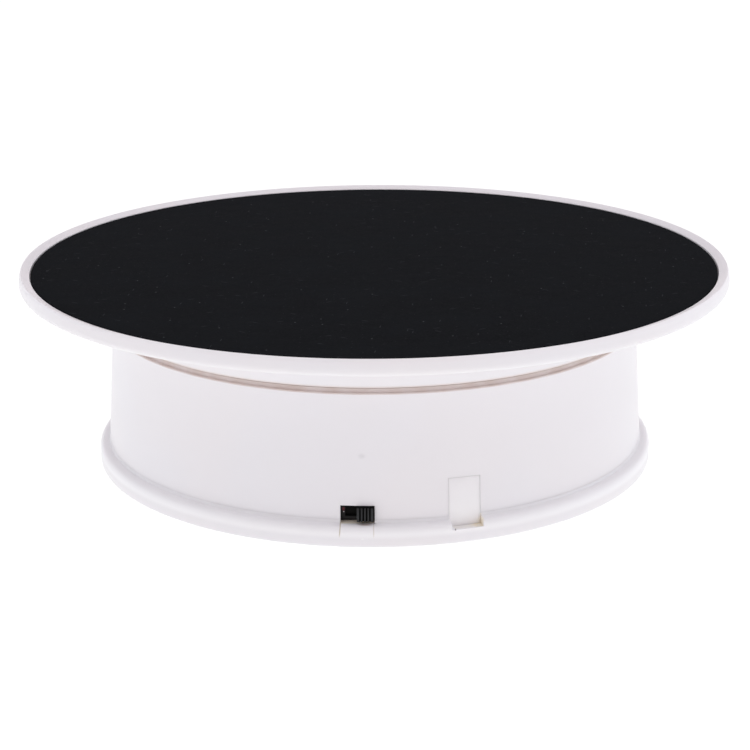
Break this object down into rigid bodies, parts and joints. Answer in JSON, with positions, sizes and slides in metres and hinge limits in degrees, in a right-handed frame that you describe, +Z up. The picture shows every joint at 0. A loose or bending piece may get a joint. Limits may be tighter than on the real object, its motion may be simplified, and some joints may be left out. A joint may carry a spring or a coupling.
{
  "type": "turntable display stand",
  "caption": "Battery-driven turntable display stand: round velvet-topped platter with a raised rim, turning on a drum-shaped housing with a slide switch and a flanged base.",
  "frame": {"origin": "centre of the foot circle on the surface that the stand rests on, under the platter's axis", "axes": "+Z up along the platter's axis, -Y towards the front with the slide switch, +X to the right seen from the front"},
  "size_m": [0.2, 0.2, 0.0574],
  "materials": {
    "white_plastic": "fine satin moulded white",
    "velvet": "short black flock with pale fibre specks",
    "black_plastic": "satin black",
    "grey_plastic": "plain moulded grey",
    "nylon": "natural nylon",
    "rubber": "dark grey rubber",
    "steel": "zinc-plated",
    "bronze": "machined",
    "red_insulation": "smooth PVC",
    "black_insulation": "smooth PVC"
  },
  "bodies": {
    "housing": {"housing_drum": "white_plastic", "base_plate": "white_plastic", "port_blank": "white_plastic", "hub_bush": "bronze", "switch_body": "black_plastic", "switch_frame": "steel", "contact_positive": "steel", "contact_negative": "steel", "contact_link_left": "steel", "contact_link_right": "steel", "gearbox_case": "grey_plastic", "gearbox_cover": "grey_plastic", "gear_axle_1": "steel", "gear_axle_2": "steel", "motor_can": "steel", "motor_end_cap": "white_plastic", "wire_battery_switch": "red_insulation", "wire_switch_motor": "red_insulation", "wire_battery_motor": "black_insulation", "roller_pin_1": "steel", "foot_1": "rubber", "base_screw_1": "steel", "gearbox_screw_1": "steel", "roller_pin_2": "steel", "foot_2": "rubber", "base_screw_2": "steel", "gearbox_screw_2": "steel", "roller_pin_3": "steel", "foot_3": "rubber", "base_screw_3": "steel", "gearbox_screw_3": "steel", "roller_pin_4": "steel", "foot_4": "rubber", "base_screw_4": "steel", "gearbox_screw_4": "steel", "mount_screw_1": "steel", "mount_screw_2": "steel", "mount_screw_3": "steel"},
    "platter": {"platter": "white_plastic", "velvet_pad": "velvet", "platter_screw": "steel", "output_shaft": "steel", "output_gear": "nylon"},
    "compound_gear_1": {"compound_gear_1": "nylon"},
    "compound_gear_2": {"compound_gear_2": "nylon"},
    "motor_rotor": {"worm": "bronze", "motor_shaft": "steel"},
    "switch_knob": {"switch_knob": "black_plastic"},
    "battery_door": {"battery_door": "white_plastic"},
    "roller_1": {"roller_1": "grey_plastic"},
    "roller_2": {"roller_2": "grey_plastic"},
    "roller_3": {"roller_3": "grey_plastic"},
    "roller_4": {"roller_4": "grey_plastic"}
  },
  "joints": [
    {"name": "platter_spin", "type": "hinge", "parent": "housing", "child": "platter", "pos_m": [0, 0, 0.0565], "axis": [0, 0, 1], "continuous": true},
    {"name": "compound_gear_2_spin", "type": "hinge", "parent": "housing", "child": "compound_gear_2", "pos_m": [0, -0.021, 0.018], "axis": [0, 0, 1], "continuous": true},
    {"name": "compound_gear_1_spin", "type": "hinge", "parent": "housing", "child": "compound_gear_1", "pos_m": [0.015, -0.021, 0.0136], "axis": [0, 0, 1], "continuous": true},
    {"name": "motor_spin", "type": "hinge", "parent": "housing", "child": "motor_rotor", "pos_m": [0.015, -0.0315, 0.0136], "axis": [1, 0, 0], "continuous": true},
    {"name": "roller_1_spin", "type": "hinge", "parent": "housing", "child": "roller_1", "pos_m": [0.06, 0, 0.0363], "axis": [1, 0, 0], "continuous": true},
    {"name": "roller_2_spin", "type": "hinge", "parent": "housing", "child": "roller_2", "pos_m": [0, 0.06, 0.0363], "axis": [0, 1, 0], "continuous": true},
    {"name": "roller_3_spin", "type": "hinge", "parent": "housing", "child": "roller_3", "pos_m": [-0.06, 0, 0.0363], "axis": [-1, 0, 0], "continuous": true},
    {"name": "roller_4_spin", "type": "hinge", "parent": "housing", "child": "roller_4", "pos_m": [0, -0.06, 0.0363], "axis": [0, -1, 0], "continuous": true},
    {"name": "switch_slide", "type": "slide", "parent": "housing", "child": "switch_knob", "axis": [-1, 0, 0], "range_m": [0, 0.0038]},
    {"name": "battery_door_hinge", "type": "hinge", "parent": "housing", "child": "battery_door", "pos_m": [0, 0.0129, 0.001], "axis": [-1, 0, 0], "range_deg": [0, 90]}
  ],
  "couplings": [
    {"joint": "compound_gear_2_spin", "follows": "platter_spin", "ratio": -5},
    {"joint": "compound_gear_1_spin", "follows": "platter_spin", "ratio": 20},
    {"joint": "motor_spin", "follows": "platter_spin", "ratio": -600},
    {"joint": "roller_1_spin", "follows": "platter_spin", "ratio": -10},
    {"joint": "roller_2_spin", "follows": "platter_spin", "ratio": -10},
    {"joint": "roller_3_spin", "follows": "platter_spin", "ratio": -10},
    {"joint": "roller_4_spin", "follows": "platter_spin", "ratio": -10}
  ]
}
